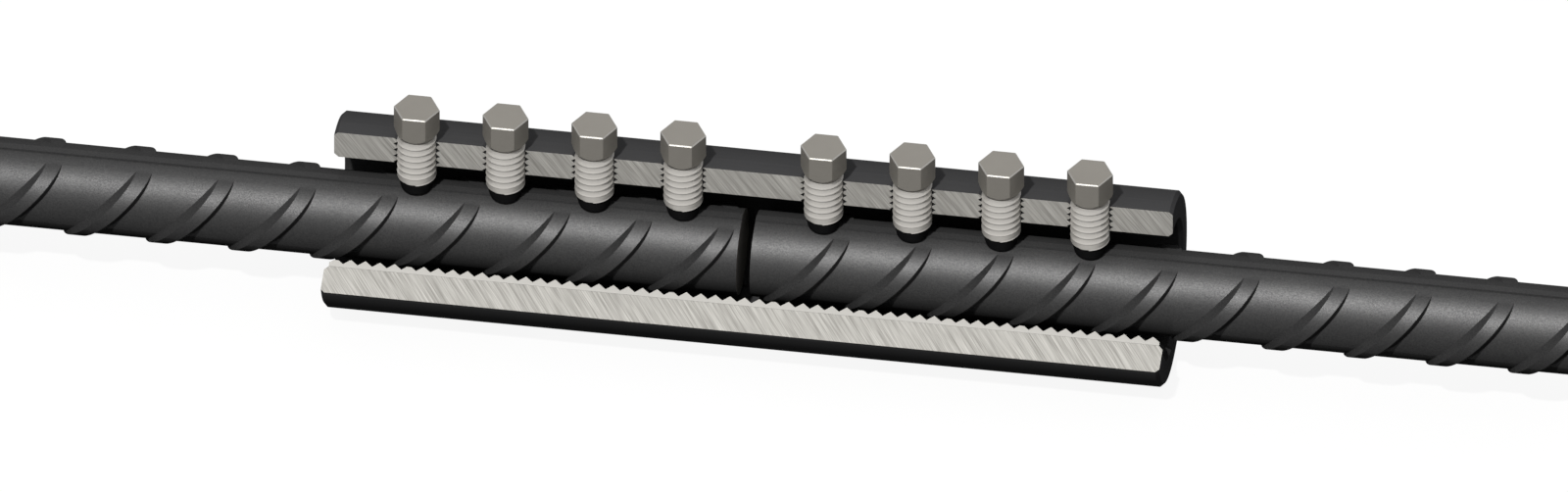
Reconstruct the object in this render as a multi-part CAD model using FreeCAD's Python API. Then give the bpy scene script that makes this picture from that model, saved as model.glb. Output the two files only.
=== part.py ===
"""Bolted rebar coupler, cut open to show the two reinforcing bars clamped in it.

A thick steel sleeve takes the ends of two ribbed bars. Shear-head bolts go through its
top wall and press the bars down on two toothed saddles inside the bore. A sector of the
sleeve, and of the front saddle with it, is cut away.

Frame: +X runs along the bars and +Z along the bolts towards their heads, so the cut
faces the front, at -Y. The origin is on the bars' axis, midway along the sleeve.
Everything is in millimetres.
"""

import FreeCAD
import Part
import math
import os

Vector = FreeCAD.Vector
ALONG_BARS = Vector(1, 0, 0)
UPWARDS = Vector(0, 0, 1)

# Reinforcing bars: a round core with slanted cross ribs and two lengthwise ribs
BAR_CORE_DIAMETER = 26.7
BAR_STUB = 128.65               # length of each bar outside the sleeve
BAR_SETBACK_LEFT = 3.4          # from the sleeve's middle to the left bar's inner end
BAR_SETBACK_RIGHT = 0.8
RIB_HEIGHT = 2.15               # at the middle of a cross rib
RIB_CREST_WIDTH = 4.8           # along the bar
RIB_BASE_WIDTH = 9.8            # along the bar, at the middle of the rib
RIB_HALF_ARC = 70.0             # degrees round the bar from a rib's middle to its end
RIB_SLANT = 42.0                # degrees between a rib's plane and a square cut
RIB_PITCH = 25.3
RIB_PAUSE = 2.5                 # extra space that follows some of the ribs
RIB_START_LEFT = 15.5           # from the bar's inner end to its first rib
RIB_START_RIGHT = 15.9
PAUSES_LEFT = (3, 8)            # the ribs that the extra space follows
PAUSES_RIGHT = (6,)
LONG_RIB_WIDTH = 2.5
LONG_RIB_HEIGHT = 0.65

# Saddles: toothed rails along the bore, one each side of its lowest line
SADDLE_ANGLE = 45.0             # degrees round the bore from its lowest line
SADDLE_WIDTH = 20.0
SADDLE_DEPTH = 3.15             # behind the teeth, at mid-width
SADDLE_SETBACK = 1.25           # from the sleeve's end to the saddle's end
SADDLE_FIT = 0.05               # between the saddle's back and the bore
SEAT_FIT = 0.15                 # between the teeth and the bars' ribs
TOOTH_PITCH = 4.5
TOOTH_HEIGHT = 1.6
TOOTH_OFFSET = 4.4              # from the sleeve's middle to a tooth
BLUNT_CUT = 0.5                 # height that a tooth crushed by a cross rib lacks
BLUNT_REACH = 2.3               # how far along the bar a cross rib crushes teeth
BEARING_ANGLE = 28.5            # degrees below level where a cross rib bears on the teeth

# Sleeve
SLEEVE_WALL = 9.5
BAR_DROP = 1.5                  # from the sleeve's axis down to the bars' axis
END_CHAMFER_OUTSIDE = 1.1
END_CHAMFER_INSIDE = 1.3
CUT_LOW_ANGLE = 19.0            # degrees below level of the lower cut face

# Bolts
BOLT_DIAMETER = 12.1
BOLTS_PER_BAR = 4
BOLT_PITCH = 27.4
BOLT_MIDDLE_GAP = 43.3          # between the two bolts nearest the middle
BOLT_END_MARGIN = 25.5          # from the last bolt to the sleeve's end
THREAD_FIT = 0.05               # radial, in the sleeve's holes
HEAD_ACROSS_FLATS = 12.35
HEAD_HEIGHT = 9.15
HEAD_RISE = 3.65                # from the top of the sleeve to the head
HEAD_TOP_CHAMFER = 0.3
HEAD_CORNER_RADIUS = 0.4
HEAD_UNDERCUT = 1.3             # height cut off the head's lower corners
NECK_DIAMETER = 10.2            # where the head shears off
NECK_HEIGHT = 1.0
POINT_BITE = 0.85               # depth of the bolt's point in the bar
POINT_FLAT = 0.3                # radius of the flat on the bolt's point
POINT_FIT = 0.1                 # between the point and the bar

# Derived sizes
BAR_RADIUS = BAR_CORE_DIAMETER / 2
BOLT_RADIUS = BOLT_DIAMETER / 2
HALF_ARC = math.radians(RIB_HALF_ARC)
CREST_OFFSET = (RIB_HEIGHT ** 2 + 2 * BAR_RADIUS * RIB_HEIGHT) / (
    2 * (BAR_RADIUS * (1 - math.cos(HALF_ARC)) + RIB_HEIGHT))
CREST_RADIUS = BAR_RADIUS + RIB_HEIGHT - CREST_OFFSET
RIB_ROOT = RIB_HEIGHT / 2       # how deep a rib's foot runs inside the core
RIB_SHEAR = math.tan(math.radians(RIB_SLANT))

SADDLE_TURN = math.radians(SADDLE_ANGLE)
RIB_REACH = CREST_RADIUS + CREST_OFFSET * math.sin(SADDLE_TURN)
TOOTH_TIP = RIB_REACH + BAR_DROP * math.cos(SADDLE_TURN) + SEAT_FIT
TOOTH_ROOT = TOOTH_TIP + TOOTH_HEIGHT
BORE_RADIUS = TOOTH_ROOT + SADDLE_DEPTH
SLEEVE_RADIUS = BORE_RADIUS + SLEEVE_WALL
SLEEVE_TOP = BAR_DROP + SLEEVE_RADIUS

LAST_BOLT = BOLT_MIDDLE_GAP / 2 + (BOLTS_PER_BAR - 1) * BOLT_PITCH
SLEEVE_HALF = LAST_BOLT + BOLT_END_MARGIN
SADDLE_HALF = SLEEVE_HALF - SADDLE_SETBACK
BAR_END = SLEEVE_HALF + BAR_STUB

BOLT_TIP = BAR_RADIUS - POINT_BITE
SHANK_END = BOLT_TIP + BOLT_RADIUS - POINT_FLAT
HEAD_BOTTOM = SLEEVE_TOP + HEAD_RISE
HEAD_TOP = HEAD_BOTTOM + HEAD_HEIGHT
NECK_BOTTOM = HEAD_BOTTOM - NECK_HEIGHT
HEAD_INRADIUS = HEAD_ACROSS_FLATS / 2
HEAD_CORNER = HEAD_INRADIUS / math.cos(math.pi / 6)


def turned(profile, turns_about, centre):
    """Revolve a closed outline of points once about an axis through a point."""
    face = Part.Face(Part.makePolygon(profile + profile[:1]))
    return face.revolve(centre, turns_about, 360)


def extruded(outline, along):
    """Extrude a closed outline of points."""
    return Part.Face(Part.makePolygon(outline + outline[:1])).extrude(along)


def sleeve_axis_point(x=0.0):
    """A point on the sleeve's axis, which runs above the bars' axis."""
    return Vector(x, 0, BAR_DROP)


def bolt_places():
    """X of each bolt, from left to right."""
    right = [BOLT_MIDDLE_GAP / 2 + BOLT_PITCH * step for step in range(BOLTS_PER_BAR)]
    return [-x for x in reversed(right)] + right


def cut_sector():
    """The wedge of space that is cut away, from the top round the front."""
    reach = 2 * SLEEVE_RADIUS
    low = math.radians(CUT_LOW_ANGLE)
    left = -SLEEVE_HALF - 1
    corners = [(0, 0), (0, reach), (-reach, reach),
               (-reach * math.cos(low), -reach * math.sin(low))]
    outline = [Vector(left, y, BAR_DROP + z) for y, z in corners]
    return extruded(outline, ALONG_BARS * (2 * SLEEVE_HALF + 2))


def sleeve():
    """A thick tube with bevelled ends, a row of bolt holes and a sector cut out."""
    end = SLEEVE_HALF
    profile = [
        (-end, BORE_RADIUS + END_CHAMFER_INSIDE),
        (-end, SLEEVE_RADIUS - END_CHAMFER_OUTSIDE),
        (-end + END_CHAMFER_OUTSIDE, SLEEVE_RADIUS),
        (end - END_CHAMFER_OUTSIDE, SLEEVE_RADIUS),
        (end, SLEEVE_RADIUS - END_CHAMFER_OUTSIDE),
        (end, BORE_RADIUS + END_CHAMFER_INSIDE),
        (end - END_CHAMFER_INSIDE, BORE_RADIUS),
        (-end + END_CHAMFER_INSIDE, BORE_RADIUS),
    ]
    points = [Vector(x, 0, BAR_DROP + radius) for x, radius in profile]
    tube = turned(points, ALONG_BARS, sleeve_axis_point())
    holes = [Part.makeCylinder(BOLT_RADIUS + THREAD_FIT, SLEEVE_TOP, Vector(x, 0, BAR_DROP), UPWARDS)
             for x in bolt_places()]
    return tube.cut(cut_sector()).cut(holes)


def rib_places(start, pauses):
    """Distances from a bar's inner end to its cross ribs, past its outer end too."""
    places = []
    place = start
    while place < BAR_END + RIB_PITCH:
        places.append(place)
        place += RIB_PITCH
        if len(places) in pauses:
            place += RIB_PAUSE
    return places


def is_crushed(x):
    """Whether a tooth at X lies under a cross rib of either bar."""
    left = [-BAR_SETBACK_LEFT - place for place in rib_places(RIB_START_LEFT, PAUSES_LEFT)]
    right = [BAR_SETBACK_RIGHT + place for place in rib_places(RIB_START_RIGHT, PAUSES_RIGHT)]
    shift = RIB_SHEAR * BAR_RADIUS * math.sin(math.radians(BEARING_ANGLE))
    return any(abs(x - middle + shift) < BLUNT_REACH for middle in left + right)


def tooth_line():
    """Points of the teeth, from left to right past both ends, as X and distance from the axis."""
    half = TOOTH_PITCH / 2
    first = math.floor((-SADDLE_HALF - TOOTH_OFFSET) / TOOTH_PITCH)
    last = math.ceil((SADDLE_HALF - TOOTH_OFFSET) / TOOTH_PITCH)
    points = [(TOOTH_OFFSET + first * TOOTH_PITCH - half, TOOTH_ROOT)]
    for number in range(first, last + 1):
        middle = TOOTH_OFFSET + number * TOOTH_PITCH
        if is_crushed(middle):
            flat = half * BLUNT_CUT / TOOTH_HEIGHT
            points.append((middle - flat, TOOTH_TIP + BLUNT_CUT))
            points.append((middle + flat, TOOTH_TIP + BLUNT_CUT))
        else:
            points.append((middle, TOOTH_TIP))
        points.append((middle + half, TOOTH_ROOT))
    return points


def saddle(side):
    """A toothed rail in the bore; side is -1 for the front one and 1 for the rear one."""
    tangent = Vector(0, side * math.cos(SADDLE_TURN), math.sin(SADDLE_TURN))
    outward = Vector(0, side * math.sin(SADDLE_TURN), -math.cos(SADDLE_TURN))
    teeth = tooth_line()
    back = [(teeth[-1][0], SLEEVE_RADIUS), (teeth[0][0], SLEEVE_RADIUS)]
    outline = [sleeve_axis_point(x) + outward * depth - tangent * (SADDLE_WIDTH / 2)
               for x, depth in teeth + back]
    rail = extruded(outline, tangent * SADDLE_WIDTH)
    room = Part.makeCylinder(BORE_RADIUS - SADDLE_FIT, 2 * SADDLE_HALF,
                             sleeve_axis_point(-SADDLE_HALF), ALONG_BARS)
    return rail.common(room)


def cross_rib(side):
    """A crescent rib on one side of the bar, leaning along it, with sloping flanks."""
    slope = (RIB_BASE_WIDTH - RIB_CREST_WIDTH) / 2 / RIB_HEIGHT
    inner = CREST_RADIUS - RIB_HEIGHT - 2 * RIB_ROOT
    foot = RIB_CREST_WIDTH / 2 + slope * (RIB_HEIGHT + 2 * RIB_ROOT)
    crest = RIB_CREST_WIDTH / 2
    centre = Vector(0, side * CREST_OFFSET, 0)
    profile = [(-foot, inner), (-crest, CREST_RADIUS), (crest, CREST_RADIUS), (foot, inner)]
    points = [centre + Vector(x, 0, radius) for x, radius in profile]
    ring = turned(points, ALONG_BARS, centre)
    lean = FreeCAD.Matrix()
    lean.A13 = RIB_SHEAR
    leaning = ring.transformGeometry(lean)
    span = 4 * BAR_CORE_DIAMETER
    core = Part.makeCylinder(BAR_RADIUS - RIB_ROOT, span, Vector(-span / 2, 0, 0), ALONG_BARS)
    return leaning.cut(core)


def end_slab(x, side):
    """The space just past one end of a bar, from x onwards, to trim what sticks out."""
    reach = 2 * (BAR_RADIUS + RIB_HEIGHT)
    depth = 2 * RIB_PITCH + RIB_PAUSE + reach
    start = x if side > 0 else x - depth
    return Part.makeBox(depth, 2 * reach, 2 * reach, Vector(start, -reach, -reach))


def bar(side, setback, rib_start, pauses):
    """A ribbed bar with sawn ends and a dent under each bolt's point; side is -1 or 1."""
    length = BAR_END - setback
    start = setback if side > 0 else -BAR_END
    core = Part.makeCylinder(BAR_RADIUS, length, Vector(start, 0, 0), ALONG_BARS)
    rib_top = BAR_RADIUS + LONG_RIB_HEIGHT
    long_rib = Part.makeBox(length, LONG_RIB_WIDTH, 2 * rib_top,
                            Vector(start, -LONG_RIB_WIDTH / 2, -rib_top))
    ribs = []
    for face in (-1, 1):
        rib = cross_rib(face)
        for place in rib_places(rib_start, pauses):
            ribs.append(rib.translated(ALONG_BARS * (side * (setback + place))))
    blank = core.fuse([long_rib] + ribs)
    waste = [end_slab(side * setback, -side), end_slab(side * BAR_END, side)]
    for x in bolt_places():
        if x * side > 0:
            waste.append(Part.makeCone(POINT_FLAT + POINT_FIT, BOLT_RADIUS + POINT_FIT,
                                       BOLT_RADIUS - POINT_FLAT,
                                       Vector(x, 0, BOLT_TIP - POINT_FIT), UPWARDS))
    return blank.cut(waste)


def bolt_head(x):
    """A hexagonal head with broken edges and a sloping underside."""
    corners = [Vector(x + HEAD_CORNER * math.cos(turn), HEAD_CORNER * math.sin(turn), HEAD_BOTTOM)
               for turn in [math.radians(60 * step) for step in range(6)]]
    prism = extruded(corners, UPWARDS * HEAD_HEIGHT)
    upright = [edge for edge in prism.Edges
               if abs(edge.Vertexes[0].Z - edge.Vertexes[-1].Z) > HEAD_HEIGHT / 2]
    prism = prism.makeFillet(HEAD_CORNER_RADIUS, upright)
    rim = [edge for edge in prism.Edges if edge.BoundBox.ZMin > HEAD_TOP - HEAD_TOP_CHAMFER / 2]
    prism = prism.makeChamfer(HEAD_TOP_CHAMFER, rim)
    slope = HEAD_UNDERCUT / (HEAD_CORNER - HEAD_INRADIUS)
    edge = HEAD_CORNER + 1
    profile = [(0, HEAD_BOTTOM), (HEAD_INRADIUS, HEAD_BOTTOM),
               (edge, HEAD_BOTTOM + slope * (edge - HEAD_INRADIUS)), (edge, HEAD_TOP), (0, HEAD_TOP)]
    envelope = turned([Vector(x + radius, 0, z) for radius, z in profile], UPWARDS, Vector(x, 0, 0))
    return prism.common(envelope)


def bolt(x):
    """A pointed bolt whose head shears off at the neck; its thread is drawn plain."""
    profile = [
        (0, BOLT_TIP),
        (POINT_FLAT, BOLT_TIP),
        (BOLT_RADIUS, SHANK_END),
        (BOLT_RADIUS, NECK_BOTTOM),
        (NECK_DIAMETER / 2, NECK_BOTTOM),
        (NECK_DIAMETER / 2, HEAD_BOTTOM),
        (0, HEAD_BOTTOM),
    ]
    shank = turned([Vector(x + radius, 0, z) for radius, z in profile], UPWARDS, Vector(x, 0, 0))
    return shank.fuse(bolt_head(x))


def main():
    """Build each piece and write it to its own file."""
    pieces = {
        "sleeve": sleeve(),
        "saddle_front": saddle(-1).cut(cut_sector()),
        "saddle_rear": saddle(1),
        "bar_left": bar(-1, BAR_SETBACK_LEFT, RIB_START_LEFT, PAUSES_LEFT),
        "bar_right": bar(1, BAR_SETBACK_RIGHT, RIB_START_RIGHT, PAUSES_RIGHT),
    }
    for number, x in enumerate(bolt_places(), start=1):
        pieces[f"bolt_{number}"] = bolt(x)
    os.makedirs("parts", exist_ok=True)
    for name, shape in pieces.items():
        solid = shape.removeSplitter()
        solid.exportStep(f"parts/{name}.step")
        print(f"{name}: {len(solid.Solids)} solid, {solid.Volume / 1000:.2f} cm3, valid {solid.isValid()}")


main()
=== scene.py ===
"""The looks of a bolted rebar coupler, cut open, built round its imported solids.

A black steel sleeve with a sector cut away holds two ribbed bars. Eight shear-head bolts
press the bars down on two toothed saddles. Every shape is in metres, in the frame of the
solids: +X runs along the bars, +Z along the bolts, and the cut faces the front, at -Y.
"""

import logging
import math
from collections.abc import Callable
from dataclasses import dataclass
from enum import Enum

import bmesh
import bpy
from bmesh.types import BMEdge, BMesh, BMVert
from bpy.types import ID, Material, Mesh, MeshPolygon, Node, NodeOutputs, NodeSocket, NodeTree, Object
from mathutils import Matrix, Vector


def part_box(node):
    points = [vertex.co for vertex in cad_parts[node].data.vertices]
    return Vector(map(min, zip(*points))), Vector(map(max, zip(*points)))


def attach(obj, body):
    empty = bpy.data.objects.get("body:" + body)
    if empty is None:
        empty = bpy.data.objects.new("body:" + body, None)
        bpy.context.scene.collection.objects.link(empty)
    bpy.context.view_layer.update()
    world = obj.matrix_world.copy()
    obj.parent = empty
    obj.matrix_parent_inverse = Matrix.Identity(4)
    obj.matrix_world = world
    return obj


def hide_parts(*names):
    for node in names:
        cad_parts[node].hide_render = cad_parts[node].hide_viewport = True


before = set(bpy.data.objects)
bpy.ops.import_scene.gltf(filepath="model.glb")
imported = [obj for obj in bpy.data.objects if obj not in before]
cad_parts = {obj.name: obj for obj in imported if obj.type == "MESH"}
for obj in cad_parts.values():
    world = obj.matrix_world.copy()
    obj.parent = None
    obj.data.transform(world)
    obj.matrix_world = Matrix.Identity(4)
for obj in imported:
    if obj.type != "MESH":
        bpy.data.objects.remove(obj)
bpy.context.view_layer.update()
LOG = logging.getLogger("rebar_coupler")
MM = 0.001
WELD = 0.004 * MM  # points closer than this are one

BOLT_COUNT = 8
BOLTS_PER_BAR = 4
BAR_CORE_RADIUS = 13.35 * MM
BAR_DROP = 1.5 * MM  # from the sleeve's axis down to the bars' axis
SLEEVE_RADIUS = 30.13 * MM
THREAD_PITCH = 2.34 * MM
THREAD_PHASE = 0.75  # turns from the right to where a crest meets the lower end
THREAD_START = 18.3 * MM  # height of the lower end of every thread
THREAD_ROWS = 12  # rows of faces in a turn
THREAD_SIDES = 64
COLLAR_END = 0.98  # turns up which the plain band at the lower end reaches
CUT_LOW_ANGLE = math.radians(19)  # below level, of the sleeve's lower cut face
CUT_NORMAL = Vector((0, -math.sin(CUT_LOW_ANGLE), math.cos(CUT_LOW_ANGLE)))
FRONT = Vector((0, -1, 0))
COLOUR_A, COLOUR_B = 6, 7  # inputs of a Mix node that mixes colours
NUMBER_A, NUMBER_B = 2, 3  # and of one that mixes numbers


class Side(Enum):
    """Which way along the bars a piece lies from the sleeve's middle."""

    LEFT = -1
    RIGHT = 1


class Slot(Enum):
    """The record's material slots."""

    SLEEVE = "sleeve_steel"
    SADDLE = "saddle_steel"
    BAR = "bar_steel"
    BOLT = "bolt_steel"


class Carving(Enum):
    """What is left when a tool meets a body."""

    CUT = "DIFFERENCE"
    JOIN = "UNION"
    OVERLAP = "INTERSECT"


def srgb(code: str) -> tuple[float, float, float, float]:
    """Turn an sRGB hex colour into linear red, green, blue and alpha.

    Args:
        code: six hex digits, such as "1c1c1d".

    Returns:
        The linear colour, opaque.
    """
    channels = [int(code[place:place + 2], 16) / 255 for place in (0, 2, 4)]
    linear = [c / 12.92 if c <= 0.04045 else ((c + 0.055) / 1.055) ** 2.4 for c in channels]
    return (*linear, 1.0)


def facing(normal: Vector, way: Vector) -> bool:
    """Tell whether a face looks a given way, within 8 degrees."""
    return normal.dot(way) > 0.99


def add_node(tree: NodeTree, kind: str, *wired: object,
             inputs: dict[str | int, object] | None = None, **settings: object) -> Node:
    """Add a node with its settings, and set or link its inputs.

    Args:
        tree: the tree that gets the node.
        kind: Blender's name for the type of node.
        wired: values or output sockets for the first inputs, in order.
        inputs: values or output sockets for inputs by name or number.
        settings: the node's own properties.

    Returns:
        The new node.
    """
    node = tree.nodes.new(kind)
    for name, value in settings.items():
        setattr(node, name, value)
    for key, value in [*enumerate(wired), *(inputs or {}).items()]:
        if isinstance(value, NodeSocket):
            tree.links.new(value, node.inputs[key])
        else:
            node.inputs[key].default_value = value
    return node


def calc(tree: NodeTree, operation: str, *values: object) -> NodeSocket:
    """Work out a value from numbers or sockets with a Math node."""
    return add_node(tree, "ShaderNodeMath", *values, operation=operation).outputs[0]


def ramp(tree: NodeTree, value: NodeSocket, low: object, high: object,
         at_low: float = 0.0, at_high: float = 1.0) -> NodeSocket:
    """Map a value from one range to another and hold it at the ends."""
    return add_node(tree, "ShaderNodeMapRange", value, low, high, at_low, at_high).outputs[0]


def noise(tree: NodeTree, place: NodeSocket, size: float, detail: float,
          roughness: float = 0.5) -> NodeSocket:
    """Give noise from 0 to 1 whose features are about so many millimetres across."""
    return add_node(tree, "ShaderNodeTexNoise", place, inputs={
        "Scale": 1 / (size * MM), "Detail": detail, "Roughness": roughness}).outputs[0]


def blend(tree: NodeTree, first: NodeSocket, second: NodeSocket, share: float) -> NodeSocket:
    """Mix two values, the second with the share that is given."""
    return calc(tree, "MULTIPLY_ADD", second, share, calc(tree, "MULTIPLY", first, 1 - share))


@dataclass(frozen=True)
class Finish:
    """A surface finish: two shades, how they mix, how rough it is and its relief."""

    name: str
    light: str
    dark: str
    metallic: float  # the share that mirrors; the rest scatters
    roughness: tuple[float, float]
    relief: float  # bump height in millimetres
    gloss: float = 0.5  # of the share that scatters
    edge: str = "ffffff"  # what the mirroring share keeps at a glancing angle
    drawn: float = 0.0  # how far the shine stretches round the bars' axis, 0 to 1

    def pattern(self, tree: NodeTree, place: NodeSocket) -> NodeSocket:
        """Give a value from 0, dark and low, to 1, light and high.

        Args:
            tree: the material's tree.
            place: the object coordinates.

        Returns:
            The pattern's output socket.
        """
        raise NotImplementedError

    def material(self) -> Material:
        """Build the material, or return it where it is already made."""
        made = bpy.data.materials.get(self.name)
        if made is not None:
            return made
        made = bpy.data.materials.new(self.name)
        made.use_nodes = True
        tree = made.node_tree
        tree.nodes.clear()
        place = add_node(tree, "ShaderNodeTexCoord").outputs["Object"]
        pattern = self.pattern(tree, place)
        shade = add_node(tree, "ShaderNodeMix", pattern, data_type="RGBA", inputs={
            COLOUR_A: srgb(self.dark), COLOUR_B: srgb(self.light)})
        rough = ramp(tree, pattern, 0.0, 1.0, self.roughness[1], self.roughness[0])
        bump = add_node(tree, "ShaderNodeBump", inputs={
            "Strength": 1.0, "Distance": self.relief * MM, "Height": pattern})
        surface = add_node(tree, "ShaderNodeBsdfPrincipled", inputs={
            "Base Color": shade.outputs[2], "Roughness": rough, "Normal": bump.outputs[0],
            "Metallic": self.metallic, "Specular IOR Level": self.gloss,
            "Specular Tint": srgb(self.edge), "Anisotropic": self.drawn})
        if self.drawn:
            round_axis = add_node(tree, "ShaderNodeTangent", direction_type="RADIAL", axis="X")
            tree.links.new(round_axis.outputs[0], surface.inputs["Tangent"])
        add_node(tree, "ShaderNodeOutputMaterial", surface.outputs[0])
        return made


@dataclass(frozen=True)
class MillScale(Finish):
    """Hot-rolled bar: thin grey scale, satin, mottled and finely pitted."""

    mottle: float = 14.0  # millimetres across the darker clouds
    grain: float = 0.45  # millimetres, coarser than the real pits so that it shows

    def pattern(self, tree: NodeTree, place: NodeSocket) -> NodeSocket:
        """Mix soft clouds with a fine pitted grain."""
        clouds = noise(tree, place, self.mottle, 3.0)
        mixed = blend(tree, clouds, noise(tree, place, self.grain, 4.0, 0.6), 0.85)
        return ramp(tree, mixed, 0.3, 0.7)


@dataclass(frozen=True)
class GroundCut(Finish):
    """Bare steel on a cut face: slanted strokes of the grinder, a few of them bright."""

    along: tuple[float, float, float] = (1.0, 0.0, 0.0)
    across: tuple[float, float, float] = (0.0, 0.0, 1.0)
    stroke: float = 1.2  # millimetres across a stroke
    fine_stroke: float = 0.34
    bow: float = 0.5  # millimetres that a stroke strays sideways
    bow_length: float = 22.0  # millimetres over which it does
    squeeze: float = 0.025  # draws the strokes out to 40 times their width

    def pattern(self, tree: NodeTree, place: NodeSocket) -> NodeSocket:
        """Stretch noise along the strokes, wide and fine, and let them stray a little."""
        offset = calc(tree, "MULTIPLY", noise(tree, place, self.bow_length, 0.0), self.bow * MM)
        side, length = [add_node(tree, "ShaderNodeVectorMath", place, way,
                                 operation="DOT_PRODUCT").outputs["Value"]
                        for way in (self.across, self.along)]
        flat = add_node(tree, "ShaderNodeCombineXYZ", calc(tree, "ADD", side, offset),
                        calc(tree, "MULTIPLY", length, self.squeeze)).outputs[0]
        wide = noise(tree, flat, self.stroke, 1.0)
        mixed = blend(tree, wide, noise(tree, flat, self.fine_stroke, 2.0), 0.65)
        return ramp(tree, mixed, 0.36, 0.64)


@dataclass(frozen=True)
class MachinedSteel(Finish):
    """Steel as the tool or the rolls left it: faint rings round the bolts' way and a grain."""

    line: float = 0.3  # millimetres across a ring or line
    line_detail: float = 1.0
    grain: float = 0.3  # millimetres, coarser than the real grain so that it shows
    grain_share: float = 0.6
    squeeze: tuple[float, float, float] = (0.05, 0.05, 1.0)  # draws noise out into rings

    def pattern(self, tree: NodeTree, place: NodeSocket) -> NodeSocket:
        """Mix rings or lines with a fine grain."""
        drawn_out = add_node(tree, "ShaderNodeVectorMath", place, self.squeeze, operation="MULTIPLY")
        lines = noise(tree, drawn_out.outputs[0], self.line, self.line_detail)
        return blend(tree, lines, noise(tree, place, self.grain, 3.0), self.grain_share)


@dataclass(frozen=True)
class BlackOxide(MachinedSteel):
    """Blackened drawn tube: an oiled conversion coat, faintly lined along the tube."""

    line: float = 0.5
    line_detail: float = 2.0
    grain: float = 0.35
    grain_share: float = 0.65
    squeeze: tuple[float, float, float] = (0.02, 1.0, 1.0)  # draws noise out along the tube


STROKE_ANGLE = math.radians(54)  # of the grinder's strokes on both cut faces
STROKE_COS = math.cos(STROKE_ANGLE)
STROKE_SIN = math.sin(STROKE_ANGLE)
OUT_Y = -math.cos(CUT_LOW_ANGLE)  # outwards along the lower cut face
OUT_Z = -math.sin(CUT_LOW_ANGLE)
BLACK = {"gloss": 0.0, "edge": "000000"}  # no pale sheen at a glancing angle

# Black-oxide tube: nearly black and dull, so light shows on it only as a soft grey band.
SLEEVE_BLACK = BlackOxide("black_oxide_tube", "444445", "373738", 0.1, (0.44, 0.52), 0.006, **BLACK)
# Hot-rolled bar in mill scale: dark, with a shine narrow along the bar and wide round it.
BAR_SCALE = MillScale("mill_scale_bar", "3d3d3d", "2c2c2d", 0.28, (0.29, 0.32), 0.005, **BLACK, drawn=1.0)
# Band-sawn bar: bare grey steel, dulled by the blade, and set darker than bare steel as painted shade for
# the ends in the dim gap inside the sleeve.
SAWN_END = MachinedSteel("sawn_bar_end", "74726e", "696763", 0.4, (0.5, 0.56), 0.004)
# Ground tube wall: light, matt and streaky, from bare steel and slanted grinding strokes.
CUT_TOP = GroundCut("ground_cut_top", "b9b7b2", "8a8883", 0.3, (0.5, 0.58), 0.015,
                    along=(STROKE_COS, 0.0, -STROKE_SIN), across=(STROKE_SIN, 0.0, STROKE_COS))
# The lower cut face's steel is painted a little lighter than the upper's: painted light, for the face that
# turns up towards the lamps.
CUT_LOW = GroundCut("ground_cut_low", "bfbdb8", "8f8d88", 0.3, (0.5, 0.58), 0.015,
                    along=(STROKE_COS, OUT_Y * STROKE_SIN, OUT_Z * STROKE_SIN),
                    across=(-STROKE_SIN, OUT_Y * STROKE_COS, OUT_Z * STROKE_COS))
# Milled section of the saddle: bare steel, light and even, with hardly a mark.
SADDLE_CUT = MachinedSteel("milled_saddle_cut", "b9b7b3", "b1afaa", 0.05, (0.5, 0.56), 0.002)
# Blackened saddle: as dark and dull as the sleeve, so only its cut face stands out.
SADDLE_STEEL = MachinedSteel("blackened_saddle", "3a3a3b", "303031", 0.12, (0.44, 0.5), 0.004, **BLACK)
# Hardened and turned head: warm mid-grey steel with a satin sheen.
HEAD_STEEL = MachinedSteel("hardened_bolt_head", "7e7b74", "736f69", 0.22, (0.4, 0.46), 0.004)
# The head's edge, burnished by the socket, and set lighter and more mirror-like than the head as a painted
# glint: a thin bright line.
EDGE_STEEL = MachinedSteel("burnished_bolt_edge", "a5a39f", "999793", 0.9, (0.5, 0.54), 0.001)
# The bolt's point: near-black steel as painted shade, so that it stays dark under the bright thread where
# it sits in shadow.
POINT_STEEL = MachinedSteel("hardened_bolt_point", "212122", "19191a", 0.1, (0.5, 0.56), 0.002, **BLACK)
# Cold-rolled thread: smooth light steel, bright on each crest.
THREAD_STEEL = MachinedSteel("rolled_bolt_thread", "c2bfba", "b2afaa", 0.3, (0.36, 0.42), 0.003)


def new_object(name: str, data: ID) -> Object:
    """Put a mesh, camera or lamp in the scene as an object at the origin.

    Args:
        name: the object's name.
        data: its mesh, camera or lamp.

    Returns:
        The object.
    """
    made = bpy.data.objects.new(name, data)
    bpy.context.scene.collection.objects.link(made)
    return made


def mesh_from(shape: BMesh) -> Mesh:
    """Turn a bmesh into a mesh and free it.

    Args:
        shape: the bmesh.

    Returns:
        The mesh.
    """
    mesh = bpy.data.meshes.new("shape")
    shape.to_mesh(mesh)
    shape.free()
    return mesh


def closed(shape: BMesh) -> Mesh:
    """Fill a bmesh's openings, turn its faces outwards and make it a mesh.

    Args:
        shape: the bmesh.

    Returns:
        The closed mesh.
    """
    bmesh.ops.holes_fill(shape, edges=[edge for edge in shape.edges if edge.is_boundary])
    bmesh.ops.recalc_face_normals(shape, faces=shape.faces)
    return mesh_from(shape)


def baked(thing: Object) -> Mesh:
    """Apply an object's modifiers, give the result as a plain mesh and drop the object.

    Args:
        thing: the object.

    Returns:
        The mesh.
    """
    seen = thing.evaluated_get(bpy.context.evaluated_depsgraph_get())
    mesh = bpy.data.meshes.new_from_object(seen)
    bpy.data.objects.remove(thing)
    return mesh


def grown(tree: NodeTree, values: dict[str, object]) -> Mesh:
    """Run a geometry tree on its own and give what it makes as a plain mesh.

    Args:
        tree: the geometry tree.
        values: its inputs by name.

    Returns:
        The mesh.
    """
    carrier = new_object("carrier", bpy.data.meshes.new("carrier"))
    modifier = carrier.modifiers.new("build", "NODES")
    modifier.node_group = tree
    for item in tree.interface.items_tree:
        if item.item_type == "SOCKET" and item.in_out == "INPUT" and item.name in values:
            modifier[item.identifier] = values[item.name]
    return baked(carrier)


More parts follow.
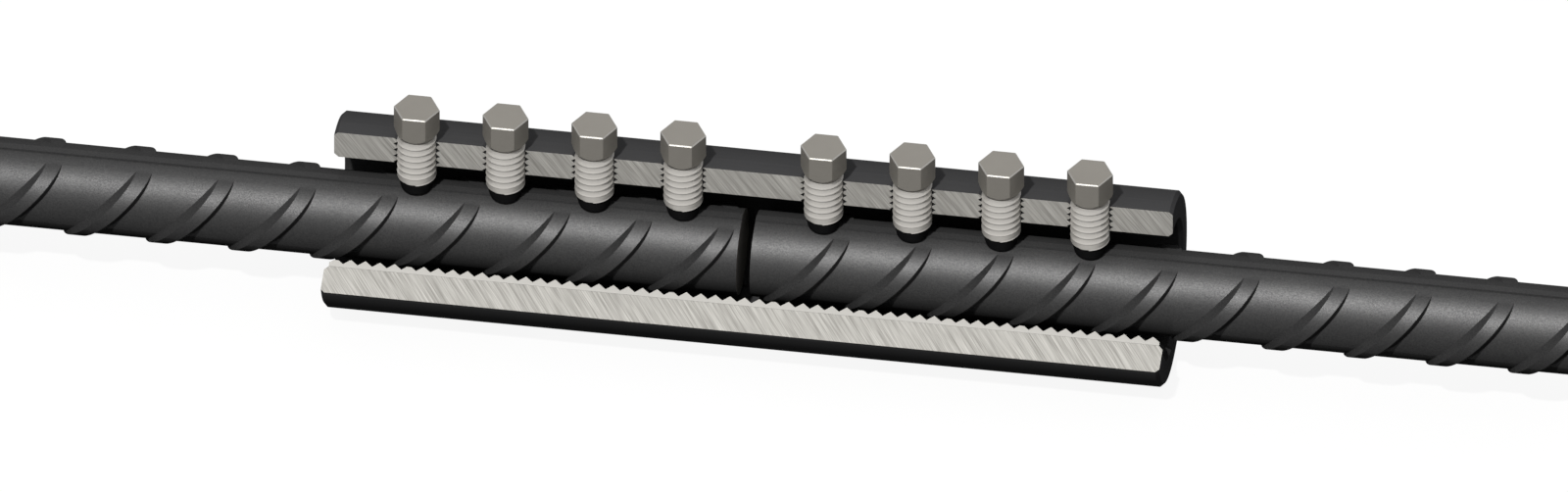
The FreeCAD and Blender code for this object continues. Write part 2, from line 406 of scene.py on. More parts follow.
def carved(body: Mesh, tool: Mesh, carving: Carving) -> Mesh:
    """Work on a closed mesh with another.

    Args:
        body: the mesh that is worked on.
        tool: the other mesh.
        carving: what is left of them.

    Returns:
        The new mesh.
    """
    worked = new_object("worked", body)
    other = new_object("tool", tool)
    modifier = worked.modifiers.new("carve", "BOOLEAN")
    modifier.object = other
    modifier.operation = carving.value
    modifier.solver = "EXACT"
    result = baked(worked)
    bpy.data.objects.remove(other)
    return result


def lathe(profile: list[tuple[float, float]], steps: int) -> Mesh:
    """Turn a closed outline of radius and height once about Z.

    Args:
        profile: radius and height of each corner, from the lowest on the axis to the highest.
        steps: sides round the axis.

    Returns:
        A closed mesh.
    """
    shape = bmesh.new()
    corners = [shape.verts.new((radius, 0, height)) for radius, height in profile]
    edges = [shape.edges.new(pair) for pair in zip(corners, corners[1:])]
    bmesh.ops.spin(shape, geom=corners + edges, cent=(0, 0, 0), axis=(0, 0, 1),
                   angle=math.tau, steps=steps, use_merge=True)
    bmesh.ops.remove_doubles(shape, verts=shape.verts, dist=WELD)
    bmesh.ops.recalc_face_normals(shape, faces=shape.faces)
    return mesh_from(shape)


def joined(meshes: list[Mesh]) -> Mesh:
    """Join meshes into one and weld what meets.

    Args:
        meshes: the meshes, with their places in their vertices.

    Returns:
        The joined mesh.
    """
    shape = bmesh.new()
    for mesh in meshes:
        shape.from_mesh(mesh)
    bmesh.ops.remove_doubles(shape, verts=shape.verts, dist=WELD)
    return mesh_from(shape)


def start_tree(name: str, inputs: dict[str, list[str]]) -> tuple[NodeTree, NodeOutputs]:
    """Start a geometry tree.

    Args:
        name: the tree's name.
        inputs: names of its inputs by kind of socket, such as Float.

    Returns:
        The tree, and the sockets of its inputs.
    """
    tree = bpy.data.node_groups.new(name, "GeometryNodeTree")
    for kind, labels in inputs.items():
        for label in labels:
            tree.interface.new_socket(label, in_out="INPUT", socket_type=f"NodeSocket{kind}")
    tree.interface.new_socket("Geometry", in_out="OUTPUT", socket_type="NodeSocketGeometry")
    return tree, add_node(tree, "NodeGroupInput").outputs


def end_tree(tree: NodeTree, geometry: NodeSocket, material: NodeSocket) -> None:
    """End a geometry tree: make its result real, weld it and give it its material.

    Args:
        tree: the tree.
        geometry: the socket with its result.
        material: the socket with the material.
    """
    whole = add_node(tree, "GeometryNodeRealizeInstances", geometry).outputs[0]
    welded = add_node(tree, "GeometryNodeMergeByDistance", whole, inputs={"Distance": WELD}).outputs[0]
    dressed = add_node(tree, "GeometryNodeSetMaterial", welded, inputs={"Material": material}).outputs[0]
    add_node(tree, "NodeGroupOutput", dressed)


def thread_tree() -> NodeTree:
    """Build the geometry tree of a helical thread, an open tube with round rims.

    Rows of the grid climb with the helix, so every crest and root is a clean line. Rows past
    either end are held at that end's height and welded there.

    Returns:
        The tree. Lengths are in metres; Turns covers the thread's length and one turn more.
    """
    tree, given = start_tree("helical_thread", {
        "Float": ["Crest Radius", "Root Radius", "Root Share", "Upper Share", "Sharpness",
                  "Collar Share", "Phase", "Pitch", "Bottom", "Top", "Bottom Runout", "Top Runout"],
        "Int": ["Turns", "Rows", "Sides"],
        "Material": ["Material"]})
    columns = calc(tree, "ADD", given["Sides"], 1.0)
    rows = calc(tree, "ADD", calc(tree, "MULTIPLY", given["Turns"], given["Rows"]), 1.0)
    grid = add_node(tree, "GeometryNodeMeshGrid", 1.0, 1.0, columns, rows).outputs["Mesh"]
    spot = add_node(tree, "GeometryNodeInputPosition").outputs[0]
    parts = add_node(tree, "ShaderNodeSeparateXYZ", spot).outputs
    turn = calc(tree, "ADD", parts["X"], 0.5)
    level = calc(tree, "ADD", parts["Y"], 0.5)
    turns_up = calc(tree, "MULTIPLY_ADD", level, given["Turns"], turn)
    from_start = calc(tree, "SUBTRACT", turns_up, 1.0)
    climb = calc(tree, "MULTIPLY_ADD", from_start, given["Pitch"], given["Bottom"])
    height = add_node(tree, "ShaderNodeClamp", climb, given["Bottom"], given["Top"]).outputs[0]
    above = calc(tree, "SUBTRACT", height, given["Bottom"])
    below = calc(tree, "SUBTRACT", given["Top"], height)
    behind = calc(tree, "SUBTRACT", calc(tree, "DIVIDE", above, given["Pitch"]), turn)
    lag = calc(tree, "ADD", behind, given["Phase"])
    past = calc(tree, "FRACT", lag)
    upper = ramp(tree, past, 0.0, given["Upper Share"], 1.0, 0.0)
    lower = ramp(tree, past, given["Upper Share"], 1.0)
    wave = calc(tree, "MAXIMUM", upper, lower)
    flank = calc(tree, "POWER", ramp(tree, wave, given["Root Share"], 1.0), given["Sharpness"])
    first = calc(tree, "LESS_THAN", lag, COLLAR_END)
    collar = calc(tree, "MULTIPLY", first, given["Collar Share"])
    ridge = calc(tree, "MAXIMUM", flank, collar)
    fade = calc(tree, "MULTIPLY", ramp(tree, above, 0.0, given["Bottom Runout"]),
                ramp(tree, below, 0.0, given["Top Runout"]))
    share = calc(tree, "MULTIPLY", ridge, fade)
    depth = calc(tree, "SUBTRACT", given["Crest Radius"], given["Root Radius"])
    radius = calc(tree, "MULTIPLY_ADD", share, depth, given["Root Radius"])
    angle = calc(tree, "MULTIPLY", turn, math.tau)
    x = calc(tree, "MULTIPLY", radius, calc(tree, "COSINE", angle))
    y = calc(tree, "MULTIPLY", radius, calc(tree, "SINE", angle))
    target = add_node(tree, "ShaderNodeCombineXYZ", x, y, height).outputs[0]
    moved = add_node(tree, "GeometryNodeSetPosition", grid, inputs={"Position": target}).outputs[0]
    end_tree(tree, moved, given["Material"])
    return tree


def row_tree() -> NodeTree:
    """Build the geometry tree that repeats an object along X.

    Returns:
        The tree, with the object, the count, the pitch and the first place as inputs.
    """
    tree, given = start_tree("row_along_bars", {
        "Object": ["Object"], "Int": ["Count"], "Float": ["Pitch", "First"],
        "Material": ["Material"]})
    start = add_node(tree, "ShaderNodeCombineXYZ", given["First"]).outputs[0]
    step = add_node(tree, "ShaderNodeCombineXYZ", given["Pitch"]).outputs[0]
    line = add_node(tree, "GeometryNodeMeshLine", inputs={
        "Count": given["Count"], "Start Location": start, "Offset": step}).outputs[0]
    thing = add_node(tree, "GeometryNodeObjectInfo", given["Object"]).outputs["Geometry"]
    copies = add_node(tree, "GeometryNodeInstanceOnPoints", line, inputs={"Instance": thing}).outputs[0]
    end_tree(tree, copies, given["Material"])
    return tree


def painted(mesh: Mesh, finishes: tuple[Finish, ...],
            finish_of: Callable[[MeshPolygon], Finish]) -> None:
    """Give each face of a mesh its finish.

    Args:
        mesh: the mesh.
        finishes: the finishes that it has, in the order of its materials.
        finish_of: tells the finish of a face.
    """
    mesh.materials.clear()
    for finish in finishes:
        mesh.materials.append(finish.material())
    names = [finish.name for finish in finishes]
    for face in mesh.polygons:
        face.material_index = names.index(finish_of(face).name)


def finish_piece(mesh: Mesh, name: str, nodes: list[str], crease: float = 32.0) -> None:
    """Make a finished mesh a piece of the coupler.

    Args:
        mesh: the mesh, with its materials.
        name: the piece's name.
        nodes: the solids that it stands for.
        crease: angle in degrees past which an edge stays sharp.
    """
    mesh.name = name
    mesh.shade_smooth()
    mesh.set_sharp_from_angle(angle=math.radians(crease))
    piece = new_object(name, mesh)
    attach(piece, "root")
    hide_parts(*nodes)
    LOG.info("%s: %d faces", name, len(mesh.polygons))


@dataclass
class Trees:
    """The geometry trees that the coupler's pieces share."""

    thread: NodeTree
    row: NodeTree

    def helix(self, top: float, turns: int, finish: Finish, form: dict[str, float]) -> Mesh:
        """Make an open thread up to a height, from the turns in it and one more."""
        return grown(self.thread, form | {
            "Phase": THREAD_PHASE, "Pitch": THREAD_PITCH, "Bottom": THREAD_START, "Top": top,
            "Turns": turns, "Rows": THREAD_ROWS, "Sides": THREAD_SIDES, "Material": finish.material()})

    def repeated(self, thing: Object, count: int, pitch: float, first: float, finish: Finish) -> Mesh:
        """Repeat an object along the bars."""
        return grown(self.row, {"Object": thing, "Count": count, "Pitch": pitch, "First": first,
                                "Material": finish.material()})


@dataclass
class BoltRow:
    """Eight bolts with hexagonal heads, shear necks, rolled threads and blunt points painted dark as shade.
    """

    trees: Trees
    across_flats: float = 12.35 * MM
    head_height: float = 9.15 * MM
    top_edge: float = 0.32 * MM  # bevel round the upper face
    side_edge: float = 0.2 * MM  # rounding of the upright edges
    undercut: float = 1.3 * MM  # height of the turned cone at the lower corners
    envelope: float = 1.0 * MM  # how far the turned shape reaches past the head
    envelope_sides: int = 96
    crest_radius: float = 6.05 * MM
    root_radius: float = 5.58 * MM
    runout: float = 0.02 * MM  # height of the step at the thread's lower end
    neck_radius: float = 5.1 * MM
    neck_height: float = 1.0 * MM
    neck_overlap: float = 0.5 * MM  # into the head, which joins the two
    point_step: float = 0.3 * MM  # from the crests in to the point
    point_flat: float = 0.3 * MM  # radius of the blunt tip
    point_shoulder: tuple[float, float] = (4.8 * MM, 1.6 * MM)  # radius, and height over the tip

    def __post_init__(self) -> None:
        """Read the bolts' places along the bars and their heights from the solids."""
        boxes = [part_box(f"bolt_{number}") for number in range(1, BOLT_COUNT + 1)]
        self.places = [(low[0] + high[0]) / 2 for low, high in boxes]
        self.tip = boxes[0][0][2]
        self.head_top = boxes[0][1][2]
        self.head_bottom = self.head_top - self.head_height

    def beside(self, tool: Object, side: Side, finish: Finish) -> Mesh:
        """Repeat an object at the bolts of one bar.

        Args:
            tool: the object, on the axis of a bolt at the origin.
            side: the bar's side.
            finish: what the object leaves behind.

        Returns:
            The row.
        """
        first = self.places[0 if side is Side.LEFT else BOLTS_PER_BAR]
        pitch = self.places[1] - self.places[0]
        return self.trees.repeated(tool, BOLTS_PER_BAR, pitch, first, finish)

    def head(self) -> Mesh:
        """A hexagonal prism with rounded edges, cut by a cone underneath."""
        top = self.head_top
        bottom = self.head_bottom
        flat = self.across_flats / 2
        corner = flat / math.cos(math.pi / 6)
        shape = bmesh.new()
        ring = [shape.verts.new((corner * math.cos(turn), corner * math.sin(turn), bottom))
                for turn in [math.tau * step / 6 for step in range(6)]]
        face = shape.faces.new(ring)
        lifted = bmesh.ops.extrude_face_region(shape, geom=[face])["geom"]
        bmesh.ops.translate(shape, verts=[v for v in lifted if isinstance(v, BMVert)],
                            vec=(0, 0, self.head_height))
        bmesh.ops.recalc_face_normals(shape, faces=shape.faces)
        for size, low, segments in ((self.side_edge, bottom, 3), (self.top_edge, top, 1)):
            kept = [edge for edge in shape.edges
                    if max(v.co.z for v in edge.verts) > top - WELD
                    and abs(min(v.co.z for v in edge.verts) - low) < WELD]
            bmesh.ops.bevel(shape, geom=kept, offset=size, segments=segments, profile=0.5,
                            affect="EDGES", clamp_overlap=True)
        wide = corner + self.envelope
        rise = self.undercut / (corner - flat) * (wide - flat)
        turned = lathe([(0, bottom), (flat, bottom), (wide, bottom + rise),
                        (wide, top + self.envelope), (0, top + self.envelope)],
                       self.envelope_sides)
        return carved(mesh_from(shape), turned, Carving.OVERLAP)

    def shank(self) -> Mesh:
        """The thread with its point below and the neck above, closed."""
        bottom = THREAD_START
        top = self.head_bottom - self.neck_height
        turns = math.ceil((top - bottom) / THREAD_PITCH) + 1
        shape = bmesh.new()
        shape.from_mesh(self.trees.helix(top, turns, THREAD_STEEL, {
            "Crest Radius": self.crest_radius, "Root Radius": self.root_radius, "Root Share": 0.0,
            "Upper Share": (THREAD_ROWS - 1) / THREAD_ROWS, "Sharpness": 2.6, "Collar Share": 0.8,
            "Bottom Runout": self.runout, "Top Runout": 0.9 * MM}))
        shoulder, rise = self.point_shoulder
        self.extend(shape, bottom, [(self.crest_radius - self.point_step, bottom - self.runout),
                                    (shoulder, self.tip + rise),
                                    (self.point_flat, self.tip)])
        self.extend(shape, top, [(self.neck_radius, top),
                                 (self.neck_radius, top + self.neck_height + self.neck_overlap)])
        bmesh.ops.recalc_face_normals(shape, faces=shape.faces)
        return mesh_from(shape)

    def extend(self, shape: BMesh, level: float, steps: list[tuple[float, float]]) -> None:
        """Carry an open rim on through rings of given radius and height, and close it.

        Args:
            shape: the bmesh with the open rim.
            level: the rim's height.
            steps: radius and height of each ring.
        """
        rim = [edge for edge in shape.edges
               if edge.is_boundary and all(abs(v.co.z - level) < WELD for v in edge.verts)]
        for radius, height in steps:
            out = bmesh.ops.extrude_edge_only(shape, edges=rim)["geom"]
            rim = [item for item in out if isinstance(item, BMEdge)]
            for vert in {vert for edge in rim for vert in edge.verts}:
                flat = Vector((vert.co.x, vert.co.y, 0)).normalized() * radius
                vert.co = (flat.x, flat.y, height)
        bmesh.ops.contextual_create(shape, geom=rim)

    def finish_of(self, face: MeshPolygon) -> Finish:
        """Tell the head's steel, its edge with the painted glint, the bright thread and the point painted
        dark as shade apart.

        Args:
            face: a face of the bolt.

        Returns:
            Its finish.
        """
        height = face.center.z + WELD
        # the point below the thread is painted dark as shade
        if height < THREAD_START:
            return POINT_STEEL
        if height < self.head_bottom:
            return THREAD_STEEL
        # the bevel round the upper face takes the lighter steel that paints its glint
        if height > self.head_bottom + self.head_height / 2 and 0.5 < face.normal.z < 0.95:
            return EDGE_STEEL
        return HEAD_STEEL

    def build(self) -> None:
        """Make one bolt and set a copy at each place."""
        bolt = carved(self.head(), self.shank(), Carving.JOIN)
        painted(bolt, (HEAD_STEEL, EDGE_STEEL, THREAD_STEEL, POINT_STEEL), self.finish_of)
        for number, place in enumerate(self.places, start=1):
            copy = bolt.copy()
            copy.transform(Matrix.Translation((place, 0, 0)))
            finish_piece(copy, f"shear_bolt_{number}", [f"bolt_{number}"])


@dataclass
class Sleeve:
    """A thick tube with bevelled ends, tapped holes and a sector cut away."""

    trees: Trees
    bolts: BoltRow
    outer_radius: float = SLEEVE_RADIUS
    bore_radius: float = 20.63 * MM
    outer_chamfer: float = 1.1 * MM
    bore_chamfer: float = 1.3 * MM
    groove_radius: float = 7.2 * MM
    tooth_radius: float = 5.8 * MM
    tap_runout: float = 0.1 * MM
    steps: int = 200  # round the swept wall

    def tube(self) -> Mesh:
        """The tube's wall swept from the lower cut face round the back to the upper one."""
        low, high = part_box("sleeve")
        left, right = low[0], high[0]
        outer, bore = self.outer_radius, self.bore_radius
        profile = [
            (left, bore + self.bore_chamfer),
            (left, outer - self.outer_chamfer),
            (left + self.outer_chamfer, outer),
            (right - self.outer_chamfer, outer),
            (right, outer - self.outer_chamfer),
            (right, bore + self.bore_chamfer),
            (right - self.bore_chamfer, bore),
            (left + self.bore_chamfer, bore),
        ]
        shape = bmesh.new()
        face = shape.faces.new([shape.verts.new((x, 0, radius)) for x, radius in profile])
        sweep = math.pi * 1.5 - CUT_LOW_ANGLE
        bmesh.ops.spin(shape, geom=[face], cent=(0, 0, 0), axis=(-1, 0, 0), angle=sweep, steps=self.steps)
        bmesh.ops.translate(shape, verts=shape.verts, vec=(0, 0, BAR_DROP))
        return closed(shape)

    def taps(self) -> Mesh:
        """What the tapped holes of both rows take out of the wall."""
        turns = math.ceil((self.outer_radius + BAR_DROP - THREAD_START) / THREAD_PITCH) + 1
        shape = bmesh.new()
        shape.from_mesh(self.trees.helix(THREAD_START + turns * THREAD_PITCH, turns + 1, SLEEVE_BLACK, {
            "Crest Radius": self.groove_radius, "Root Radius": self.tooth_radius, "Root Share": 0.17,
            "Upper Share": 0.5, "Sharpness": 1.0, "Collar Share": 0.0,
            "Bottom Runout": self.tap_runout, "Top Runout": self.tap_runout}))
        tap = new_object("tap", closed(shape))
        rows = [self.bolts.beside(tap, side, SLEEVE_BLACK) for side in Side]
        bpy.data.objects.remove(tap)
        return joined(rows)

    def finish_of(self, face: MeshPolygon) -> Finish:
        """Tell both cut faces, of ground steel, from the black coat.

        Args:
            face: a face of the sleeve.

        Returns:
            Its finish.
        """
        from_axis = face.center - Vector((0, 0, BAR_DROP))
        for normal, finish in ((FRONT, CUT_TOP), (CUT_NORMAL, CUT_LOW)):
            if facing(face.normal, normal) and abs(from_axis.dot(normal)) < WELD:
                return finish
        return SLEEVE_BLACK

    def build(self) -> None:
        """Sweep the tube, tap it and dress it."""
        mesh = carved(self.tube(), self.taps(), Carving.CUT)
        painted(mesh, (SLEEVE_BLACK, CUT_TOP, CUT_LOW), self.finish_of)
        finish_piece(mesh, "sleeve_tube", ["sleeve"])


@dataclass
class Saddles:
    """Two toothed rails in the bore, the front one cut off with the sleeve."""

    edge: float = 0.12 * MM  # the teeth's broken edges
    flat: float = math.radians(1)  # edges below this angle only divide a flat face
    sharp: float = math.radians(30)  # edges over this angle are broken

    def rail(self, node: str) -> Mesh:
        """A clean copy of a saddle's solid with its edges just broken.

        Args:
            node: the solid.

        Returns:
            The rail.
        """
        shape = bmesh.new()
        shape.from_mesh(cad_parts[node].data)
        bmesh.ops.remove_doubles(shape, verts=shape.verts, dist=WELD)
        bmesh.ops.dissolve_limit(shape, angle_limit=self.flat, verts=shape.verts, edges=shape.edges)
        broken = [edge for edge in shape.edges
                  if len(edge.link_faces) == 2 and edge.calc_face_angle() > self.sharp
                  and not any(facing(face.normal, CUT_NORMAL) for face in edge.link_faces)]
        bmesh.ops.bevel(shape, geom=broken, offset=self.edge, segments=2, profile=0.5, affect="EDGES",
                        clamp_overlap=True)
        return mesh_from(shape)

    def build(self) -> None:
        """Copy and bevel both saddles, and give their cut face its bright steel."""
        for node, name in (("saddle_front", "rail_front"), ("saddle_rear", "rail_rear")):
            mesh = self.rail(node)
            painted(mesh, (SADDLE_STEEL, SADDLE_CUT),
                    lambda face: SADDLE_CUT if facing(face.normal, CUT_NORMAL) else SADDLE_STEEL)
            finish_piece(mesh, name, [node], crease=12.0)


@dataclass
class RibbedBar:
    """A hot-rolled bar with slanted crescent ribs and two lengthwise ribs."""

    trees: Trees
    bolts: BoltRow
    side: Side
    first_rib: float
    runs: tuple[int, ...]  # cross ribs between one wider space and the next
    rib_height: float = 2.15 * MM
    crest_width: float = 4.8 * MM
    base_width: float = 9.8 * MM
    half_arc: float = math.radians(70)  # from a rib's middle to its end, round the bar
    slant: float = math.tan(math.radians(42))
    rib_pitch: float = 25.3 * MM
    pause: float = 2.5 * MM  # what a wider space has more
    long_width: float = 2.5 * MM
    long_height: float = 0.65 * MM
    long_edge: float = 0.1 * MM  # lean of a lengthwise rib's sides
    long_space: float = 0.5 * MM  # round the bar, between its foot and the point before
    rounding: float = 0.12 * MM
    rounding_limit: float = 0.3  # share of a flank that its rounding may take
    rounding_turn: float = 0.76  # share of a rounding before it turns to the flank
    arc_step: float = math.radians(3.5)
    dent_space: float = 0.1 * MM  # between a dent and its point
    dent_top: float = 2.0 * MM  # from a point's shoulder up, clear of the bar
    dent_sides: int = 40

    def crest_circle(self) -> tuple[float, float]:
        """Offset and radius of the circle that the ribs' crests follow, seen along the bar."""
        core, height = BAR_CORE_RADIUS, self.rib_height
        drop = core * (1 - math.cos(self.half_arc)) + height
        offset = (height ** 2 + 2 * core * height) / (2 * drop)
        return offset, core + height - offset

    def rib_rise(self, angle: float) -> float:
        """Height of a rib's crest over the core.

        Args:
            angle: round the bar, from the rib's middle.

        Returns:
            The height, 0 past the rib's ends.
        """
        if abs(angle) >= self.half_arc:
            return 0.0
        offset, radius = self.crest_circle()
        along = offset * math.cos(angle)
        across = offset * math.sin(angle)
        return along + math.sqrt(radius ** 2 - across ** 2) - BAR_CORE_RADIUS

    def outline(self) -> list[tuple[float, float, float]]:
        """Points round the bar: direction, core radius there and the cross rib's rise."""
        core = BAR_CORE_RADIUS
        half = self.long_width / 2
        edge = math.acos(half / core)
        steps = round(self.half_arc / self.arc_step)
        quarter = [self.half_arc * step / steps for step in range(steps + 1)]
        gap = edge - self.long_space / core - self.half_arc
        quarter += [self.half_arc + gap * share for share in (0.33, 0.66, 1.0)]
        points = [(angle, core, self.rib_rise(angle)) for angle in quarter]
        top = core + self.long_height
        foot = math.sqrt(core ** 2 - half ** 2)
        for across, height in ((half, foot), (half - self.long_edge, top), (0.0, top)):
            points.append((math.atan2(height, across), math.hypot(height, across), 0.0))
        points += [(math.pi - angle, radius, rise) for angle, radius, rise in reversed(points[:-1])]
        return points + [(angle + math.pi, radius, rise) for angle, radius, rise in points[1:-1]]

    def columns(self, rise: float) -> list[tuple[float, float]]:
        """Places along the bar across half a rib, and the height over the core at each.

        Args:
            rise: the rib's height at this place round the bar.

        Returns:
            Distance from the rib's middle and height, from the middle outwards.
        """
        slope = (self.base_width - self.crest_width) / 2 / self.rib_height
        crest = self.crest_width / 2
        flank = slope * rise
        soft = min(self.rounding, self.rounding_limit * flank)
        turn = self.rounding_turn * soft
        return [
            (0.0, rise),
            (crest - soft, rise),
            (crest + turn, rise - turn / slope),
            (crest + flank - turn, turn / slope),
            (crest + flank + soft, 0.0),
            (self.rib_pitch / 2, 0.0),
        ]

    def strip(self, rings: list[list[Vector]]) -> Mesh:
        """Join rings of equal count into an open tube.

        Args:
            rings: closed rings of points, in order along the bar.

        Returns:
            The tube.
        """
        shape = bmesh.new()
        made = [[shape.verts.new(point) for point in ring] for ring in rings]
        for near, far in zip(made, made[1:]):
            for place in range(len(near)):
                before = place - 1
                shape.faces.new((near[before], near[place], far[place], far[before]))
        bmesh.ops.remove_doubles(shape, verts=shape.verts, dist=WELD)
        bmesh.ops.recalc_face_normals(shape, faces=shape.faces)
        return mesh_from(shape)

    def point(self, angle: float, radius: float, along: float) -> Vector:
        """A point on the bar, leaning along it with its height."""
        height = radius * math.sin(angle)
        return Vector((along + self.slant * height, -radius * math.cos(angle), height))

    def tile(self) -> Object:
        """One cross rib, front and rear, with half a pitch of bar each side of it."""
        outline = self.outline()
        profiles = [self.columns(rise) for _, _, rise in outline]
        count = len(profiles[0])
        order = [(-1, index) for index in range(count - 1, 0, -1)]
        order += [(1, index) for index in range(count)]
        rings = [[self.point(angle, radius + profile[index][1], sign * profile[index][0])
                  for (angle, radius, _), profile in zip(outline, profiles)]
                 for sign, index in order]
        return new_object("rib_tile", self.strip(rings))

    def spacer(self, start: float, width: float) -> Mesh:
        """A plain stretch of bar between two runs of ribs, to the left below a width of 0."""
        rings = [[self.point(angle, radius, x) for angle, radius, _ in self.outline()]
                 for x in (start, start + width)]
        return self.strip(rings)

    def skin(self) -> Mesh:
        """All runs of ribs with the wider spaces between them, longer than the bar."""
        sign = self.side.value
        tile = self.tile()
        near = self.first_rib
        parts = []
        for count in self.runs:
            far = near + sign * (count - 1) * self.rib_pitch
            parts.append(self.trees.repeated(tile, count, sign * self.rib_pitch, near, BAR_SCALE))
            parts.append(self.spacer(far + sign * self.rib_pitch / 2, sign * self.pause))
            near = far + sign * (self.rib_pitch + self.pause)
        parts.append(self.spacer(self.first_rib - sign * self.rib_pitch / 2, -sign * self.rib_pitch))
        bpy.data.objects.remove(tile)
        return joined(parts)

    def trimmed(self, mesh: Mesh, node: str) -> Mesh:
        """Saw the skin off square at the solid's two ends.

        Args:
            mesh: the skin.
            node: the bar's solid.

        Returns:
            A closed bar.
        """
        low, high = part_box(node)
        shape = bmesh.new()
        shape.from_mesh(mesh)
        for x, way in ((low[0], -1), (high[0], 1)):
            everything = shape.verts[:] + shape.edges[:] + shape.faces[:]
            cut = bmesh.ops.bisect_plane(shape, geom=everything, plane_co=(x, 0, 0),
                                         plane_no=(way, 0, 0), clear_outer=True)
            rim = [item for item in cut["geom_cut"] if isinstance(item, BMEdge)]
            bmesh.ops.contextual_create(shape, geom=rim)
        bmesh.ops.recalc_face_normals(shape, faces=shape.faces)
        return mesh_from(shape)

    def dents(self) -> Mesh:
        """The hollows that the bolts' points press into the bar."""
        space = self.dent_space
        tip = self.bolts.tip - space
        shoulder, rise = self.bolts.point_shoulder
        wide = shoulder + space
        top = tip + rise + self.dent_top
        dent = new_object("dent", lathe([(0, tip), (self.bolts.point_flat + space, tip), (wide, tip + rise),
                                         (wide, top), (0, top)], self.dent_sides))
        row = self.bolts.beside(dent, self.side, BAR_SCALE)
        bpy.data.objects.remove(dent)
        return row

    def build(self) -> None:
        """Roll the ribs, saw the ends, press the dents and dress the bar."""
        word = self.side.name.lower()
        node = f"bar_{word}"
        mesh = carved(self.trimmed(self.skin(), node), self.dents(), Carving.CUT)
        # the sawn ends take the darkened steel that paints their shade in the gap
        painted(mesh, (BAR_SCALE, SAWN_END),
                lambda face: SAWN_END if abs(face.normal.x) > 0.999 else BAR_SCALE)
        finish_piece(mesh, f"rebar_{word}", [node], crease=9.0)


def towards(azimuth: float, elevation: float) -> Vector:
    """Give the unit vector from the coupler to where something stands, from radians."""
    return Vector((math.sin(azimuth) * math.cos(elevation), -math.cos(azimuth) * math.cos(elevation),
                   math.sin(elevation)))


def aimed(name: str, data: ID, place: Vector, way: Vector) -> Object:
    """Put a camera or lamp in the scene.

    Args:
        name: its name.
        data: the camera or lamp.
        place: where it stands.
        way: the direction that it looks back along.

    Returns:
        The object.
    """
    made = new_object(name, data)
    made.location = place
    made.rotation_euler = way.to_track_quat("Z", "Y").to_euler()
    return made


@dataclass(frozen=True)
class Softbox:
    """A soft rectangular lamp that looks at the coupler."""

    name: str
    azimuth: float  # degrees from the front to the right
    elevation: float  # degrees
    distance: float  # metres
    size: tuple[float, float]  # width and height in metres
    power: float  # watts
    colour: str

    def build(self) -> None:
        """Put the lamp up, out of the camera's sight."""
        data = bpy.data.lights.new(self.name, "AREA")
        data.shape = "RECTANGLE"
        data.size, data.size_y = self.size
        data.energy = self.power
        data.color = srgb(self.colour)[:3]
        way = towards(math.radians(self.azimuth), math.radians(self.elevation))
        lamp = aimed(self.name, data, way * self.distance, way)
        lamp.visible_camera = False


# Far off, so that its shine on the bars is even from end to end.
KEY = Softbox("key", -11.2, 57, 15.0, (0.48, 0.48), 2000.0, "fffefc")
# Low behind the coupler, where the heads' upper faces mirror it.
BACK = Softbox("back_softbox", 172, 29, 5.0, (1.8, 1.0), 15.0, "ffffff")


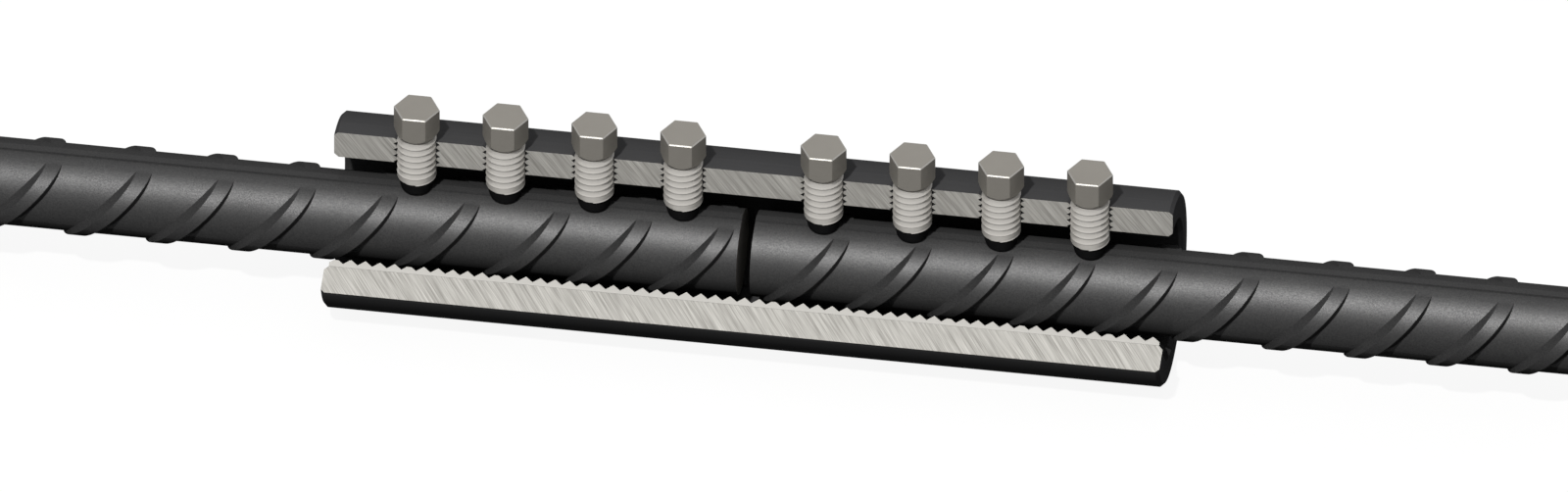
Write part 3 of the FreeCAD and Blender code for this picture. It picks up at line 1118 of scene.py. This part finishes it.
@dataclass
class Studio:
    """The camera, lamps, white surroundings and floor."""

    azimuth: float = math.radians(8.58)
    elevation: float = math.radians(39.5)
    frame_width: float = 478.3 * MM  # what the long side of the picture spans
    shift_right: float = 9.33 * MM
    shift_up: float = 1.98 * MM
    distance: float = 1.2
    horizon: float = 0.05  # strength of the world's light on the object from the side
    zenith: float = 0.8  # and from straight above
    table_half: float = 3.0  # half the table's width
    table_shade: str = "4f4f4f"  # what it scatters of the light that falls on it
    table_glow: float = 0.91  # what it adds for rays that look; together they are white

    def camera(self) -> None:
        """A level camera with parallel rays, as the picture has."""
        back = towards(self.azimuth, self.elevation)
        right = Vector((math.cos(self.azimuth), math.sin(self.azimuth), 0))
        up = back.cross(right)
        data = bpy.data.cameras.new("view")
        data.type = "ORTHO"
        data.ortho_scale = self.frame_width
        data.clip_end = 20
        place = right * self.shift_right + up * self.shift_up + back * self.distance
        bpy.context.scene.camera = aimed("view", data, place, back)

    def white(self, tree: NodeTree) -> NodeSocket:
        """A value of 1 for rays that look, reflect or pass through, and 0 for the rest."""
        ray = add_node(tree, "ShaderNodeLightPath").outputs
        seen = calc(tree, "MAXIMUM", ray["Is Camera Ray"], ray["Is Glossy Ray"])
        return calc(tree, "MAXIMUM", seen, ray["Is Transmission Ray"])

    def surroundings(self) -> None:
        """A white world to look at, which lights the object at a lower level, most from above."""
        world = bpy.data.worlds.new("surroundings")
        world.use_nodes = True
        bpy.context.scene.world = world
        tree = world.node_tree
        tree.nodes.clear()
        way = add_node(tree, "ShaderNodeTexCoord").outputs["Generated"]
        rise = add_node(tree, "ShaderNodeSeparateXYZ", way).outputs["Z"]
        dome = ramp(tree, rise, 0.0, 1.0, self.horizon, self.zenith)
        level = add_node(tree, "ShaderNodeMix", self.white(tree), data_type="FLOAT", inputs={
            NUMBER_A: dome, NUMBER_B: 1.0})
        glow = add_node(tree, "ShaderNodeBackground", srgb("ffffff"), level.outputs[0])
        add_node(tree, "ShaderNodeOutputWorld", glow.outputs[0])

    def floor(self) -> None:
        """A white table under the sleeve that keeps its shadow."""
        half = self.table_half
        height = BAR_DROP - SLEEVE_RADIUS
        shape = bmesh.new()
        shape.faces.new([shape.verts.new((x, y, height))
                         for x, y in ((-half, -half), (half, -half), (half, half), (-half, half))])
        table = new_object("table", mesh_from(shape))
        made = bpy.data.materials.new("white_table")
        made.use_nodes = True
        tree = made.node_tree
        tree.nodes.clear()
        matt = add_node(tree, "ShaderNodeBsdfDiffuse", srgb(self.table_shade))
        level = calc(tree, "MULTIPLY", self.white(tree), self.table_glow)
        glow = add_node(tree, "ShaderNodeEmission", srgb("ffffff"), level)
        both = add_node(tree, "ShaderNodeAddShader", matt.outputs[0], glow.outputs[0])
        add_node(tree, "ShaderNodeOutputMaterial", both.outputs[0])
        table.data.materials.append(made)

    def build(self) -> None:
        """Set up the camera, lamps, world and floor."""
        self.camera()
        KEY.build()
        BACK.build()
        self.surroundings()
        self.floor()
        bpy.context.scene.view_settings.view_transform = "Standard"


def main() -> None:
    """Build the studio and then each piece of the coupler."""
    logging.basicConfig(level=logging.INFO, format="%(message)s")
    Studio().build()
    trees = Trees(thread_tree(), row_tree())
    bolts = BoltRow(trees)
    bolts.build()
    Sleeve(trees, bolts).build()
    Saddles().build()
    RibbedBar(trees, bolts, Side.LEFT, first_rib=-18.9 * MM, runs=(3, 5, 3)).build()
    RibbedBar(trees, bolts, Side.RIGHT, first_rib=16.7 * MM, runs=(6, 5)).build()


if __name__ == "__main__":
    main()
